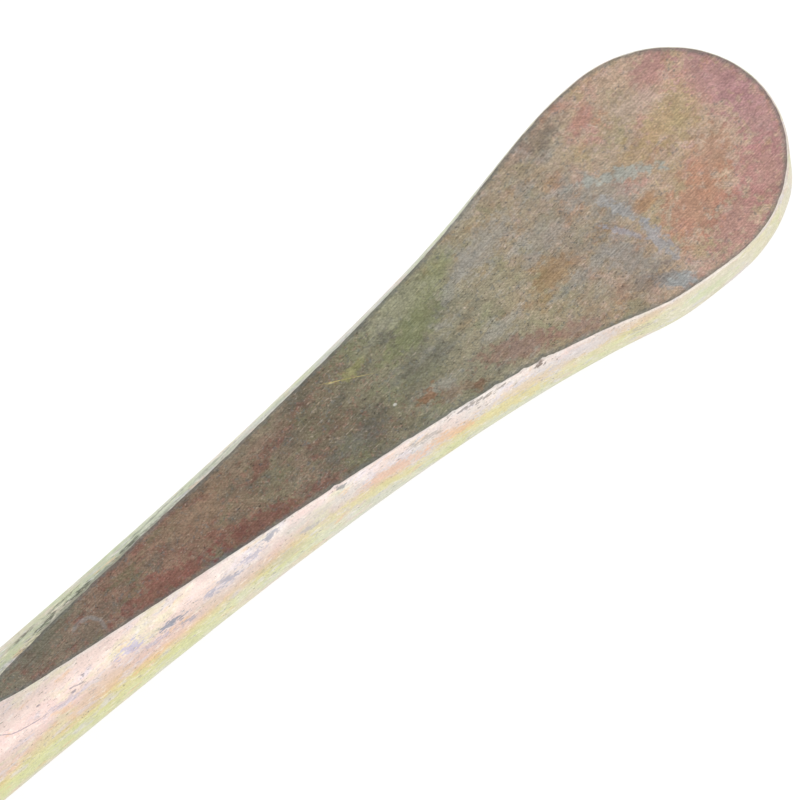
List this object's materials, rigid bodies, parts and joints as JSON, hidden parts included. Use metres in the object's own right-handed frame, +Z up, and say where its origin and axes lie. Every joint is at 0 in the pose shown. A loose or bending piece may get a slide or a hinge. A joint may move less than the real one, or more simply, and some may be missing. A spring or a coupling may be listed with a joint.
{
  "type": "tyre lever",
  "caption": "Long steel tyre lever with a flat rounded spoon at one end, a bent pry tip at the other, a round shank between them and a ribbed plastic grip sleeve round its middle.",
  "frame": {"origin": "centre of the lever's length and width, on the plane that the grip sleeve's lower flat rests on", "axes": "+X along the shank towards the spoon's tip, +Y across the lever, +Z up, out of the spoon's flat working face"},
  "size_m": [0.5, 0.042, 0.0453],
  "materials": {
    "zinc_plated_steel": "zinc plate with yellow chromate: pale straw with pink and green iridescence on the round surfaces, darker and matt on the ground flat",
    "grip_pvc": "black moulded PVC with a fine matt grain"
  },
  "bodies": {
    "root": {"lever_forging": "zinc_plated_steel", "grip_sleeve": "grip_pvc"}
  },
  "joints": []
}
